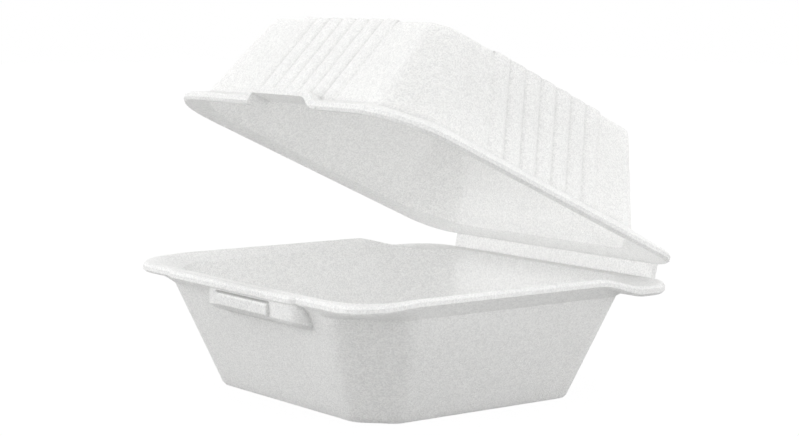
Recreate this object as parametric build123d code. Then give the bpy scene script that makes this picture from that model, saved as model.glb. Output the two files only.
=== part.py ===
from build123d import *
import math
import os

# Foam clamshell container, thermoformed from one sheet of expanded polystyrene foam.
# X is to the right, Y to the back where the lid is hinged, Z up, in millimetres.
# The origin is the middle of the flat bottom. The lid is modelled shut, then opened as it rests.

# Sheet and outer size
rim_half = 65.0            # half of the width across the rim, both ways
sheet = 2.2                # thickness of the foam wall
rim_edge = 2.8             # height of the pinched edge of the rim
rim_land = 1.9             # flat top of the rim
rim_soften = 0.8           # softening along the rim's edge

# Base tray
base_height = 41.2         # rim top above the table
base_crease_drop = 6.6     # wall crease below the rim top
base_flange = 4.7          # from the wall's crease out to the rim, in plan
base_wall_run = 14.5       # from the bottom edge out to the crease, in plan
base_floor_leg = 10.3      # corner facet at the bottom, front corners
base_crease_leg = 16.9     # corner facet at the crease, front corners
base_floor_leg_back = 13.6
base_crease_leg_back = 20.2
floor_round = 2.6          # rounding under the bottom edge
back_drop = 3.6            # the rim lies this much lower beside the hinge
back_edge = 3.2            # height of the rim's edge there
ramp_from = 32.0           # the sides' rim starts to slope down here, back from the middle
ramp_to = 46.0
bend_radius = 22.0         # the bends of the rim's line, seen from the side
front_drop = 1.3           # droop of the front rim
droop_from = 44.0          # the droop starts here, forward of the middle

# Lid
lid_height = 37.0          # top of the lid above its rim plane
lid_crease_rise = 5.0      # wall crease above the rim plane
lid_flange = 5.9
lid_wall_run = 12.2
lid_top_leg = 5.4          # corner facet at the top, front corners
lid_crease_leg = 12.8      # corner facet at the crease, front corners
lid_top_leg_back = 8.2
lid_crease_leg_back = 16.6
top_round = 2.4            # rounding of the top edge
facet_blend = 5.0          # soft blend between a wall and its corner facet
top_blend = 3.4            # the same blend at the narrow top of the lid
inner_blend_cut = 0.4      # the blends are tighter inside, per mm of wall

# Rim corners
base_corner_front = 14.0   # radius of the base rim's front corners
lid_corner_front = 22.0    # radius of the lid rim's front corners
rim_corner_back = 13.0     # radius of the rim's corners beside the hinge

# Flutes on the lid's walls
flute_count = 7
flute_pitch = 7.05
flute_rise = 0.95          # how far a flute stands proud of the wall
flute_root = 1.0           # how deep its root is bedded in the wall

# Hinge strip between the two creases
strip_radius = 1.05        # half of the strip's thickness
strip_half_length = 50.5
crease_gap = 0.25          # clearance in each crease
closed_gap = 0.3           # clearance between the two rims when shut
rest_opening = 24.0        # how far the lid stands open, degrees

# Latch on the front of the base
latch_center = 9.3         # middle of the pocket, measured from the middle of the front
latch_length = 47.0
latch_drop = 9.5           # lower end of the pocket below the rim top
latch_proud = 0.5          # pocket face set back from the rim's edge
pocket_skin = 1.5          # foam left round the hollow of the pocket
tongue_length = 29.4
tongue_inset = 5.3         # blended end of the tongue from the pocket's left end
tongue_proud = 1.1         # how far the tongue stands out of the pocket
tongue_gap = 0.7           # slit between the tongue and the rim

# Front lip of the base rim
lip_length = 71.0
lip_center = -2.3
lip_proud = 1.6

# Arch in the front rim of the lid
arch_center = 5.5
arch_length = 36.0
arch_rise = 3.6
arch_skin = 2.2
arch_run = 9.0             # length over which the right end runs out

# Worked out from the sizes above
base_crease_half = rim_half - base_flange
base_floor_half = base_crease_half - base_wall_run
lid_crease_half = rim_half - lid_flange
lid_top_half = lid_crease_half - lid_wall_run
base_crease_height = base_height - base_crease_drop
front_top = base_height - front_drop
front_under = front_top - rim_edge
back_top = base_height - back_drop
hinge_y = rim_half + crease_gap + strip_radius
hinge_z = back_top - back_edge / 2
strip_span = base_height + closed_gap + rim_edge / 2 - hinge_z
CORNER_TO_LEG = 2 - math.sqrt(2)


def plan(half, front_leg, back_leg, blend, height):
    """A square plan with four corner facets, blended where walls and facets meet."""
    points = [
        (half - front_leg, -half), (half, -half + front_leg),
        (half, half - back_leg), (half - back_leg, half),
        (-half + back_leg, half), (-half, half - back_leg),
        (-half, -half + front_leg), (-half + front_leg, -half),
    ]
    outline = make_face(Polyline(*points, close=True))
    return Pos(0, 0, height) * fillet(outline.vertices(), blend)


def rim_plan(half, height, front_corner):
    """The plan of the rim, with its own corner radius at the front and beside the hinge."""
    outline = Rectangle(2 * half, 2 * half)
    inset = rim_half - half
    front = outline.vertices().filter_by(lambda v: v.Y < 0)
    outline = fillet(front, front_corner - inset)
    back = outline.vertices().filter_by(lambda v: v.Y > half - 1)
    return Pos(0, 0, height) * fillet(back, rim_corner_back - inset)


def skin(lower, upper):
    """A solid with straight walls from one plan to the next."""
    return loft([lower.face(), upper.face()], ruled=True)


def side_profile(points, x_from, x_to):
    """A closed outline in the YZ plane, drawn as (y, z) points and run along X."""
    outline = make_face(Polyline(*[(x_from, y, z) for y, z in points], close=True))
    return extrude(outline, x_to - x_from, dir=(1, 0, 0))


def swept_profile(points):
    """A side profile across the whole rim, with the bends of its lines drawn soft."""
    reach = rim_half + 1
    outline = make_face(Polyline(*[(-reach, y, z) for y, z in points], close=True))
    bends = outline.vertices().filter_by(lambda v: abs(v.Y) < rim_half)
    if bends:
        outline = fillet(bends, bend_radius)
    return extrude(outline, 2 * reach, dir=(1, 0, 0))


def rim_band(upper, lower, front_corner):
    """The pinched edge of the rim between two lines of (y, z) points, seen from the side."""
    band = swept_profile(upper + lower[::-1]) & extrude(rim_plan(rim_half, 0, front_corner), 2 * base_height)

    def on_outline(edge):
        upright = edge.bounding_box().size.Z > 0.7 * rim_edge and edge.bounding_box().size.Y < 1e-3
        middle = edge.center()
        return not upright and max(abs(middle.X), abs(middle.Y)) > rim_half - front_corner / 2

    return chamfer(band.edges().filter_by(on_outline), rim_soften)


def shell(stations, edge_round, top, upper, lower, front_corner):
    """A tray with walls of even thickness: wall from floor to crease, then the flange and rim.

    stations holds (half, front leg, back leg, height, blend) at the floor and at the crease.
    upper and lower are the lines of the rim's edge seen from the side.
    """
    (floor_half, floor_leg, floor_leg_back, _, floor_blend) = stations[0]
    (crease_half, crease_leg, crease_leg_back, crease_height, crease_blend) = stations[1]
    draft = (crease_half - floor_half) / crease_height
    wall_inset = sheet * math.hypot(1, draft)
    land_half = rim_half - rim_land

    def foot_plan(inset, height):
        cut = CORNER_TO_LEG * inset
        return plan(floor_half - inset, floor_leg - cut, floor_leg_back - cut, floor_blend, height)

    lean = math.atan(draft)
    turn = (math.pi / 2 - lean) / 2
    tangent = edge_round * math.tan(turn)
    bite = edge_round * (1 / math.cos(turn) - 1)
    bisector = (math.pi / 2 + lean) / 2
    foot = foot_plan(tangent, 0)
    knuckle = foot_plan(bite * math.cos(bisector), bite * math.sin(bisector))
    shin = foot_plan(-tangent * math.sin(lean), tangent * math.cos(lean))
    crease = plan(crease_half, crease_leg, crease_leg_back, crease_blend, crease_height)
    reach = rim_half + 1
    above = swept_profile(upper + [(reach, 2 * top), (-reach, 2 * top)])
    outer = skin(foot, knuckle)
    outer += skin(knuckle, shin)
    outer += skin(shin, crease)
    outer += skin(crease, rim_plan(rim_half - rim_soften, top - rim_edge, front_corner)) - above
    outer += rim_band(upper, lower, front_corner)

    slope = (top - rim_edge - crease_height) / (rim_half - crease_half)
    inner_crease_half = (top - slope * land_half + (floor_half - wall_inset) / draft) / (1 / draft - slope)
    inner_crease_height = top - slope * (land_half - inner_crease_half)
    leg_cut = CORNER_TO_LEG * wall_inset

    def inner_plan(height):
        share = height / crease_height
        half = floor_half - wall_inset + draft * height
        front_leg = floor_leg + share * (crease_leg - floor_leg) - leg_cut
        back_leg = floor_leg_back + share * (crease_leg_back - floor_leg_back) - leg_cut
        blend = floor_blend + share * (crease_blend - floor_blend) - inner_blend_cut * wall_inset
        return plan(half, front_leg, back_leg, blend, height)

    inner_floor = inner_plan(sheet)
    inner_crease = inner_plan(inner_crease_height)
    inner = skin(inner_floor, inner_crease)
    inner += skin(inner_crease, rim_plan(land_half, top, front_corner))
    inner += extrude(rim_plan(land_half, top, front_corner), sheet)
    return outer, inner


def base_wall_y(height):
    """How far out the outside of the base's wall is at a height."""
    return base_floor_half + (base_crease_half - base_floor_half) * height / base_crease_height


def front_lip():
    """The part of the front rim that stands forward of the rest, with blended ends."""
    lip = Pos(lip_center, -rim_half, front_under) * extrude(
        Rectangle(lip_length, 2 * lip_proud), rim_edge
    )
    ends = lip.edges().filter_by(Axis.Z).group_by(Axis.Y)[0]
    lip = fillet(ends, 1.9 * lip_proud)
    nose = lip.edges().filter_by(Axis.X).group_by(Axis.Y)[0]
    return chamfer(nose, rim_soften)


def latch_solids():
    """The pocket under the front rim, its hollow, the tongue and the slit over the tongue."""
    face = rim_half + lip_proud - latch_proud
    low = base_height - latch_drop
    foot = low - 2.4
    left = latch_center - latch_length / 2
    right = latch_center + latch_length / 2
    bedded = base_wall_y(foot) - sheet / 2
    top = front_under + rim_edge / 2
    pocket = side_profile(
        [(-bedded, foot - 0.6), (-face, low), (-face, top), (-bedded, top)], left, right
    )
    upright = pocket.edges().filter_by(lambda e: abs(e.center().Y + face) < 1e-3 and e.bounding_box().size.X < 1e-3)
    pocket = fillet(upright, 2.6)
    nose = pocket.edges().filter_by(
        lambda e: abs(e.center().Z - low) < 0.9 and e.center().Y < -face + 2.7
    )
    pocket = chamfer(nose, 0.9)

    hollow_face = face - pocket_skin
    hollow_foot = base_wall_y(foot) - 3 * sheet
    hollow = side_profile(
        [
            (-hollow_foot, foot + 2.2), (-hollow_face + 1.2, low + pocket_skin),
            (-hollow_face + 1.2, front_under - 0.6), (-hollow_foot, front_under - 0.6),
        ],
        left + pocket_skin + 0.6,
        right - pocket_skin - 0.6,
    )

    start = left + tongue_inset
    end = start + tongue_length
    tongue_face = face + tongue_proud
    tongue_top = front_under - tongue_gap
    tongue = side_profile(
        [(-face + sheet, low + 0.3), (-tongue_face, low + 0.9), (-tongue_face, tongue_top),
         (-face + sheet, tongue_top)],
        start, end,
    )
    blended = tongue.edges().filter_by(
        lambda e: abs(e.center().X - start) < 1e-3 and abs(e.center().Y + tongue_face) < 1e-3
    )
    tongue = fillet(blended, 3.0)
    soft = tongue.edges().filter_by(Axis.X).filter_by(lambda e: e.center().Y < -tongue_face + 0.2)
    tongue = chamfer(soft, 0.5)
    slit = Pos((start + end) / 2, -face, tongue_top + tongue_gap / 2) * Box(
        tongue_length, 2 * sheet, tongue_gap
    )
    return pocket, hollow, tongue, slit


def base_tray():
    """The lower half: a tapered tray with a flared rim, a front lip and a latch."""
    stations = [
        (base_floor_half, base_floor_leg, base_floor_leg_back, 0, facet_blend),
        (base_crease_half, base_crease_leg, base_crease_leg_back, base_crease_height, 1.6 * facet_blend),
    ]
    reach = rim_half + 1
    upper = [(-reach, front_top), (-droop_from, base_height), (ramp_from, base_height),
             (ramp_to, back_top), (reach, back_top)]
    lower = [(-reach, front_under), (-droop_from, base_height - rim_edge),
             (ramp_from, base_height - rim_edge), (ramp_to, back_top - back_edge),
             (reach, back_top - back_edge)]
    outer, inner = shell(stations, floor_round, base_height, upper, lower, base_corner_front)
    pocket, hollow, tongue, slit = latch_solids()
    outer += front_lip()
    outer += pocket
    outer += tongue
    return outer - inner - hollow - slit


def flutes():
    """Seven rounded flutes on one wall of the lid, from the crease to the top edge."""
    run = lid_crease_half - lid_top_half
    rise = lid_height - lid_crease_rise
    lean = math.degrees(math.atan2(run, rise))
    length = math.hypot(run, rise)
    reach = 2.0
    section = Sketch()
    half_pitch = flute_pitch / 2
    radius = (half_pitch**2 + flute_rise**2) / (2 * flute_rise)
    for step in range(flute_count):
        across = (step - (flute_count - 1) / 2) * flute_pitch
        crown = Pos(across, flute_rise - radius) * Circle(radius)
        window = Pos(across, (flute_rise - flute_root) / 2) * Rectangle(
            flute_pitch, flute_rise + flute_root
        )
        section += crown & window
    plane = Plane(
        origin=(0, -lid_crease_half, lid_crease_rise), x_dir=(1, 0, 0),
        z_dir=(0, math.sin(math.radians(lean)), math.cos(math.radians(lean))),
    )
    bars = extrude(plane * Pos(0, 0, 0) * mirror(section, about=Plane.XZ), length + reach)
    bars += extrude(plane * mirror(section, about=Plane.XZ), -reach)
    level = Pos(0, 0, lid_crease_rise - 0.9) * Box(
        4 * rim_half, 4 * rim_half, rise + 0.9, align=(Align.CENTER, Align.CENTER, Align.MIN)
    )
    return bars & level


def arch_outline(lift):
    """The arch over the front rim, seen from the front: steep at the left, run out at the right."""
    left = arch_center - arch_length / 2 - 0.45 * lift
    right = arch_center + arch_length / 2 + 0.45 * lift
    crest = arch_rise + lift
    rise = Spline(
        (right - arch_run, 0, crest), (right, 0, lift), tangents=((1, 0, 0), (1, 0, 0))
    )
    return left, right, crest, rise


def arch_prism(lift, y_from, y_to, below):
    """The space under the arch's curve, run from the rim's edge into the wall."""
    left, right, crest, rise = arch_outline(lift)
    slant = 1.2
    outline = Polyline((right, 0, lift), (right, 0, below), (left, 0, below), (left + slant, 0, crest),
                       (right - arch_run, 0, crest))
    face = make_face([rise, outline])
    return Pos(0, y_from, 0) * extrude(face, y_to - y_from, dir=(0, 1, 0))


def lid_shut():
    """The upper half as it is shut, with its rim plane at height 0."""
    stations = [
        (lid_top_half, lid_top_leg, lid_top_leg_back, 0, top_blend),
        (lid_crease_half, lid_crease_leg, lid_crease_leg_back, lid_height - lid_crease_rise, 1.6 * facet_blend),
    ]
    reach = rim_half + 1
    upper = [(-reach, lid_height), (reach, lid_height)]
    lower = [(-reach, lid_height - rim_edge), (reach, lid_height - rim_edge)]
    outer, inner = shell(stations, top_round, lid_height, upper, lower, lid_corner_front)
    turn = Pos(0, 0, lid_height) * Rot(0, 180, 0)
    outer = turn * outer
    inner = turn * inner
    side = flutes()
    for quarter in range(4):
        outer += Rot(0, 0, 90 * quarter) * side
    wall = lid_crease_half - 1.5
    outer += arch_prism(arch_skin, -rim_half + 0.2, -wall, 0)
    body = outer - inner
    return body - arch_prism(0, -rim_half - 2, -rim_half + 8.5, -1)


def hinge_strip():
    """The narrow strip between the two creases, standing up as when the lid is shut."""
    section = Plane.YZ * Pos(hinge_y, hinge_z + strip_span / 2) * SlotCenterToCenter(
        strip_span, 2 * strip_radius, rotation=90
    )
    return extrude(section, strip_half_length, both=True)


def opened(body, pivot_height, angle):
    """A body swung open about a crease at a height above the base's bottom."""
    return body.rotate(Axis((0, hinge_y, pivot_height), (-1, 0, 0)), angle)


base = base_tray()
strip = opened(hinge_strip(), hinge_z, rest_opening / 2)
lid = Pos(0, 0, base_height + closed_gap) * lid_shut()
lid = opened(lid, hinge_z + strip_span, rest_opening / 2)
lid = opened(lid, hinge_z, rest_opening / 2)

os.makedirs("parts", exist_ok=True)
for name, body in {"base_tray": base, "hinge_strip": strip, "lid": lid}.items():
    export_step(body, f"parts/{name}.step")
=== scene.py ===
"""Looks of the foam clamshell container: one foam sheet, a plain studio and the photograph's camera."""
import logging
import math
from dataclasses import dataclass
from enum import Enum

import bpy
from mathutils import Matrix, Vector


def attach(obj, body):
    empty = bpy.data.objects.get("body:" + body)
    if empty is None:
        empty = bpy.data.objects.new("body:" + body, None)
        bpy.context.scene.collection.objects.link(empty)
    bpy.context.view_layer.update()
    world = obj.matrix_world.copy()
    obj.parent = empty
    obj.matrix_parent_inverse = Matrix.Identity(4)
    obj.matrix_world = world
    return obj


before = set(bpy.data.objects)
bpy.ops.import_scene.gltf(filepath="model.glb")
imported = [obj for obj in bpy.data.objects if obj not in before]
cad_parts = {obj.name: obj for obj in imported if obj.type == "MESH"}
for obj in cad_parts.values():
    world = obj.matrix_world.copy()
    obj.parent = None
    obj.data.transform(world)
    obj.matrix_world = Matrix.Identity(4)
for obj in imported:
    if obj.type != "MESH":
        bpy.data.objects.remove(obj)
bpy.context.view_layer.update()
MM = 0.001                    # metres in a millimetre
WHITE = (1.0, 1.0, 1.0, 1.0)
LOG = logging.getLogger("clamshell")


def linear(code: str) -> tuple[float, float, float, float]:
    """Turn an sRGB hex colour into the linear values that a shader takes.

    Args:
        code: The colour as six hex digits.

    Returns:
        Red, green, blue and alpha, linear.
    """
    channels = [int(code[start:start + 2], 16) / 255 for start in (0, 2, 4)]
    red, green, blue = (
        value / 12.92 if value <= 0.04045 else ((value + 0.055) / 1.055) ** 2.4 for value in channels
    )
    return red, green, blue, 1.0


def add_node(
    tree: bpy.types.NodeTree, kind: str, links: dict[str | int, object] | None = None,
    **settings: object,
) -> bpy.types.Node:
    """Add one node to a tree, with its settings and links.

    Args:
        tree: The node tree that gets the node.
        kind: The node's type name in Blender.
        links: Input name or number to the output socket or the plain value that feeds it.
        settings: Properties of the node itself.

    Returns:
        The new node.
    """
    node = tree.nodes.new(kind)
    for name, value in settings.items():
        setattr(node, name, value)
    for name, source in (links or {}).items():
        if isinstance(source, bpy.types.NodeSocket):
            tree.links.new(source, node.inputs[name])
        else:
            node.inputs[name].default_value = source
    return node


@dataclass(frozen=True)
class FoamSheet:
    """Expanded polystyrene foam sheet, thermoformed: closed cells under a thin skin.

    To the eye it is matt and white and glows a little, because light goes through the thin wall.
    The cells show as a fine even grain of paler and greyer specks, the stretched sheet as a faint
    slow swell. Shade is painted into the colour in the grooves between the flutes, and in creases
    and corners, as thin soft darker lines.
    """

    name: str = "expanded_polystyrene_foam_sheet_thermoformed"
    colour: str = "FFFFFE"          # the palest cells
    cell_colour: str = "E3E3E3"     # the greyest cells
    roughness: float = 0.58
    refraction: float = 1.45
    cell_mm: float = 0.34           # real cells are about 0.2 mm, drawn coarser so that they show
    cell_depth_mm: float = 0.12
    cell_relief: float = 1.0
    lump_mm: float = 5.0            # slow unevenness of the stretched sheet
    lump_depth_mm: float = 0.3
    lump_relief: float = 0.35
    lump_detail: float = 3.0
    lump_roughness: float = 0.6
    painted_shade_reach_mm: float = 1.9            # how far the painted shade reaches out of a groove between two flutes, or out of a crease
    painted_shade_samples: int = 8
    see_through: float = 0.55       # share of the light that goes on into the thin sheet

    def material(self) -> bpy.types.Material:
        """Build the material.

        Returns:
            The foam's material.
        """
        made = bpy.data.materials.new(self.name)
        made.use_nodes = True
        tree = made.node_tree
        tree.nodes.clear()
        place = add_node(tree, "ShaderNodeTexCoord").outputs["Object"]
        cells = add_node(
            tree, "ShaderNodeTexVoronoi", {"Vector": place, "Scale": 1 / (self.cell_mm * MM)}
        )
        lumps = add_node(
            tree, "ShaderNodeTexNoise",
            {"Vector": place, "Scale": 1 / (self.lump_mm * MM), "Detail": self.lump_detail,
             "Roughness": self.lump_roughness},
        )
        ramp = add_node(tree, "ShaderNodeValToRGB", {"Fac": cells.outputs["Color"]})
        ramp.color_ramp.elements[0].color = linear(self.colour)
        ramp.color_ramp.elements[1].color = linear(self.cell_colour)
        # painted shade: the colour is darkened wherever other foam lies close by, in the grooves
        # between flutes, under the rim and in inner corners
        painted_groove_shade = add_node(
            tree, "ShaderNodeAmbientOcclusion",
            {"Color": ramp.outputs["Color"], "Distance": self.painted_shade_reach_mm * MM},
            samples=self.painted_shade_samples, only_local=True,
        )
        grain = add_node(
            tree, "ShaderNodeBump",
            {"Height": cells.outputs["Distance"], "Distance": self.cell_depth_mm * MM,
             "Strength": self.cell_relief},
        )
        swell = add_node(
            tree, "ShaderNodeBump",
            {"Height": lumps.outputs["Fac"], "Distance": self.lump_depth_mm * MM,
             "Strength": self.lump_relief, "Normal": grain.outputs["Normal"]},
        )
        surface = add_node(
            tree, "ShaderNodeBsdfPrincipled",
            {"Base Color": painted_groove_shade.outputs["Color"], "Roughness": self.roughness,
             "IOR": self.refraction, "Normal": swell.outputs["Normal"]},
        )
        through = add_node(
            tree, "ShaderNodeBsdfTranslucent",
            {"Color": ramp.outputs["Color"], "Normal": swell.outputs["Normal"]},
        )
        sheet = add_node(tree, "ShaderNodeMixShader", {"Fac": self.see_through})
        tree.links.new(surface.outputs[0], sheet.inputs[1])
        tree.links.new(through.outputs[0], sheet.inputs[2])
        add_node(tree, "ShaderNodeOutputMaterial", {"Surface": sheet.outputs[0]})
        return made


@dataclass(frozen=True)
class FloorPaper:
    """Matt white paper under the box: to the eye plain white, with the box's faint shadow on it."""

    name: str = "matt_white_paper_floor"
    colour: str = "505050"          # the light that the floor throws back at the box, kept low
    glow: float = 1.92              # seen at the next value's share, which is white to the camera
    glow_share: float = 0.5         # the other half is paper, which takes the shadow

    def material(self) -> bpy.types.Material:
        """Build the material.

        Returns:
            The floor's material.
        """
        made = bpy.data.materials.new(self.name)
        made.use_nodes = True
        tree = made.node_tree
        tree.nodes.clear()
        paper = add_node(tree, "ShaderNodeBsdfDiffuse", {"Color": linear(self.colour)})
        white = add_node(tree, "ShaderNodeEmission", {"Color": WHITE, "Strength": self.glow})
        path = add_node(tree, "ShaderNodeLightPath")
        seen = add_node(
            tree, "ShaderNodeMath",
            {0: path.outputs["Is Camera Ray"], 1: path.outputs["Is Glossy Ray"]},
            operation="MAXIMUM",
        )
        also = add_node(
            tree, "ShaderNodeMath",
            {0: seen.outputs[0], 1: path.outputs["Is Transmission Ray"]},
            operation="MAXIMUM",
        )
        share = add_node(
            tree, "ShaderNodeMath", {0: also.outputs[0], 1: self.glow_share}, operation="MULTIPLY"
        )
        mixed = add_node(
            tree, "ShaderNodeMixShader",
            {0: share.outputs[0], 1: paper.outputs[0], 2: white.outputs[0]},
        )
        add_node(tree, "ShaderNodeOutputMaterial", {"Surface": mixed.outputs[0]})
        return made


@dataclass(frozen=True)
class Lamp:
    """One soft square area lamp, turned to the box."""

    name: str
    watts: float
    size_m: float
    place: tuple[float, float, float]
    aim: tuple[float, float, float] = (0, 0, 0.05)   # about the middle of the box

    def build(self) -> None:
        """Hang the lamp."""
        data = bpy.data.lights.new(self.name, "AREA")
        data.energy = self.watts
        data.size = self.size_m
        lamp = bpy.data.objects.new(self.name, data)
        bpy.context.collection.objects.link(lamp)
        lamp.location = self.place
        facing = Vector(self.aim) - Vector(self.place)
        lamp.rotation_euler = facing.to_track_quat("-Z", "Y").to_euler()


@dataclass(frozen=True)
class Studio:
    """The plain white floor and the soft light round the box."""

    paper: FloorPaper = FloorPaper()
    floor_m: float = 6.0
    sky: float = 1.31               # the light from all round
    lamps: tuple[Lamp, ...] = (
        Lamp("left_lamp", 3.2, 0.45, (-0.65, -0.78, 0.24)),
        Lamp("right_lamp", 3.6, 0.45, (0.6, 0.78, 0.2)),
        Lamp("low_lamp", 1.9, 0.6, (-0.15, -1.0, 0.2)),
        Lamp("front_lamp", 1.2, 0.5, (0.75, -0.6, 0.32)),
    )

    def floor(self) -> None:
        """Lay the floor."""
        bpy.ops.mesh.primitive_plane_add(size=self.floor_m, location=(0, 0, 0))
        floor = bpy.context.object
        floor.name = "studio_floor"
        floor.data.materials.append(self.paper.material())

    def world(self) -> None:
        """Surround everything with even white light, plain white to the camera."""
        world = bpy.data.worlds.new("studio_world")
        bpy.context.scene.world = world
        world.use_nodes = True
        tree = world.node_tree
        tree.nodes.clear()
        path = add_node(tree, "ShaderNodeLightPath")
        level = add_node(
            tree, "ShaderNodeMapRange",
            {"Value": path.outputs["Is Camera Ray"], "To Min": self.sky, "To Max": 1.0},
        )
        back = add_node(
            tree, "ShaderNodeBackground", {"Color": WHITE, "Strength": level.outputs["Result"]}
        )
        add_node(tree, "ShaderNodeOutputWorld", {"Surface": back.outputs[0]})

    def build(self) -> None:
        """Build the floor, the lamps and the world."""
        self.floor()
        for lamp in self.lamps:
            lamp.build()
        self.world()
        bpy.context.scene.view_settings.view_transform = "Standard"


@dataclass(frozen=True)
class PhotoCamera:
    """The photograph's camera, found by fitting the box's straight edges in the picture."""

    azimuth_deg: float = 51.86      # from the front towards the box's right
    elevation_deg: float = 6.33
    roll_deg: float = 0.64
    distance_m: float = 0.6357
    right_m: float = -0.00036
    up_m: float = 0.05607
    focal_px: float = 1918.1
    width_px: float = 799.0
    sensor_mm: float = 36.0
    near_m: float = 0.01
    far_m: float = 50.0

    def build(self) -> None:
        """Make the camera and set it as the scene's."""
        turn, lift = math.radians(self.azimuth_deg), math.radians(self.elevation_deg)
        back = Vector(
            (math.sin(turn) * math.cos(lift), -math.cos(turn) * math.cos(lift), math.sin(lift))
        )
        side = Vector((math.cos(turn), math.sin(turn), 0))
        high = back.cross(side)
        data = bpy.data.cameras.new("photo_camera")
        data.sensor_width = self.sensor_mm
        data.lens = self.focal_px / self.width_px * self.sensor_mm
        data.clip_start = self.near_m
        data.clip_end = self.far_m
        camera = bpy.data.objects.new("photo_camera", data)
        bpy.context.collection.objects.link(camera)
        pose = Matrix((side, high, back)).transposed().to_4x4()
        pose = pose @ Matrix.Rotation(math.radians(self.roll_deg), 4, "Z")
        pose.translation = back * self.distance_m + side * self.right_m + high * self.up_m
        camera.matrix_world = pose
        bpy.context.scene.camera = camera


class Side(Enum):
    """The body that a crease web is moulded to."""

    BASE = "base"
    LID = "lid"


@dataclass(frozen=True)
class CreaseWeb:
    """The thin foam left between a rim and the hinge strip, hollowed round the strip's edge."""

    side: Side
    axis_y_mm: float = 66.3         # the base crease runs along this line
    axis_z_mm: float = 36.0
    span_mm: float = 6.9            # from the base crease to the lid crease
    rest_deg: float = 24.0          # the lid's opening as it rests
    rim_gap_mm: float = 1.3         # from the crease's axis to the end of the rim
    hollow_mm: float = 1.08         # radius of the hollow round the strip
    spread_deg: float = 50.0        # half the hollow's arc
    half_length_mm: float = 50.4
    steps: int = 10                 # flats that the arc is drawn with

    def centre(self) -> tuple[float, float, float]:
        """Find the crease and the way that its rim points.

        Returns:
            The axis's y and z in millimetres, and the rim's tilt in radians.
        """
        if self.side is Side.BASE:
            return self.axis_y_mm, self.axis_z_mm, 0.0
        half = math.radians(self.rest_deg / 2)
        return (
            self.axis_y_mm + self.span_mm * math.sin(half),
            self.axis_z_mm + self.span_mm * math.cos(half),
            math.radians(self.rest_deg),
        )

    def section(self) -> list[tuple[float, float]]:
        """Draw the web's cross-section.

        Returns:
            Points (y, z) in millimetres, counted round the section.
        """
        y0, z0, tilt = self.centre()
        spread = math.radians(self.spread_deg)
        turns = [spread - 2 * spread * step / self.steps for step in range(self.steps + 1)]
        local = [(-self.hollow_mm * math.cos(turn), self.hollow_mm * math.sin(turn)) for turn in turns]
        high = self.hollow_mm * math.sin(spread)
        local += [(-self.rim_gap_mm, -high), (-self.rim_gap_mm, high)]
        return [
            (y0 + y * math.cos(tilt) + z * math.sin(tilt),
             z0 - y * math.sin(tilt) + z * math.cos(tilt))
            for y, z in local
        ]

    def mesh(self) -> bpy.types.Object:
        """Run the section along the crease.

        Returns:
            The web as an object in the row frame.
        """
        section = self.section()
        count = len(section)
        points = [
            (x * MM, y * MM, z * MM)
            for x in (-self.half_length_mm, self.half_length_mm) for y, z in section
        ]
        sides = [(i, (i + 1) % count, (i + 1) % count + count, i + count) for i in range(count)]
        ends = [tuple(reversed(range(count))), tuple(range(count, 2 * count))]
        name = f"crease_web_{self.side.value}"
        data = bpy.data.meshes.new(name)
        data.from_pydata(points, [], sides + ends)
        data.update()
        web = bpy.data.objects.new(name, data)
        bpy.context.collection.objects.link(web)
        return web


@dataclass(frozen=True)
class Softening:
    """Rounds the sharp edges of a solid as foam comes out of a mould."""

    width_mm: float = 0.5
    segments: int = 2
    angle_deg: float = 24.0         # edges that turn by less stay as they are
    weld_mm: float = 0.004          # joins the facets of neighbouring faces
    flat_weight: int = 60           # how far the flat walls' shading wins over the rounded edges'

    def dress(self, node: bpy.types.Object) -> None:
        """Add the modifiers, which leave the solid's own mesh as it is.

        Args:
            node: The solid as it came from the frame.
        """
        weld = node.modifiers.new("weld_seams", "WELD")
        weld.merge_threshold = self.weld_mm * MM
        bevel = node.modifiers.new("soft_edges", "BEVEL")
        bevel.width = self.width_mm * MM
        bevel.segments = self.segments
        bevel.limit_method = "ANGLE"
        bevel.angle_limit = math.radians(self.angle_deg)
        bevel.use_clamp_overlap = True
        even = node.modifiers.new("even_faces", "WEIGHTED_NORMAL")
        even.weight = self.flat_weight


@dataclass
class Clamshell:
    """The box itself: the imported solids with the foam's finish, and the webs in the creases."""

    foam: FoamSheet
    softening: Softening
    webs: tuple[CreaseWeb, ...] = (CreaseWeb(Side.BASE), CreaseWeb(Side.LID))

    def dress(self) -> None:
        """Give every piece the foam's material and soft edges."""
        material = self.foam.material()
        for name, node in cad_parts.items():
            node.data.materials.clear()
            node.data.materials.append(material)
            for face in node.data.polygons:
                face.use_smooth = True
            self.softening.dress(node)
            LOG.info("%s: %d faces", name, len(node.data.polygons))
        for web in self.webs:
            piece = web.mesh()
            piece.data.materials.append(material)
            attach(piece, web.side.value)
            LOG.info("%s: %d faces", piece.name, len(piece.data.polygons))


def main() -> None:
    """Build the box's looks, the studio and the camera, in that order."""
    logging.basicConfig(level=logging.INFO)
    Clamshell(FoamSheet(), Softening()).dress()
    Studio().build()
    PhotoCamera().build()


if __name__ == "__main__":
    main()
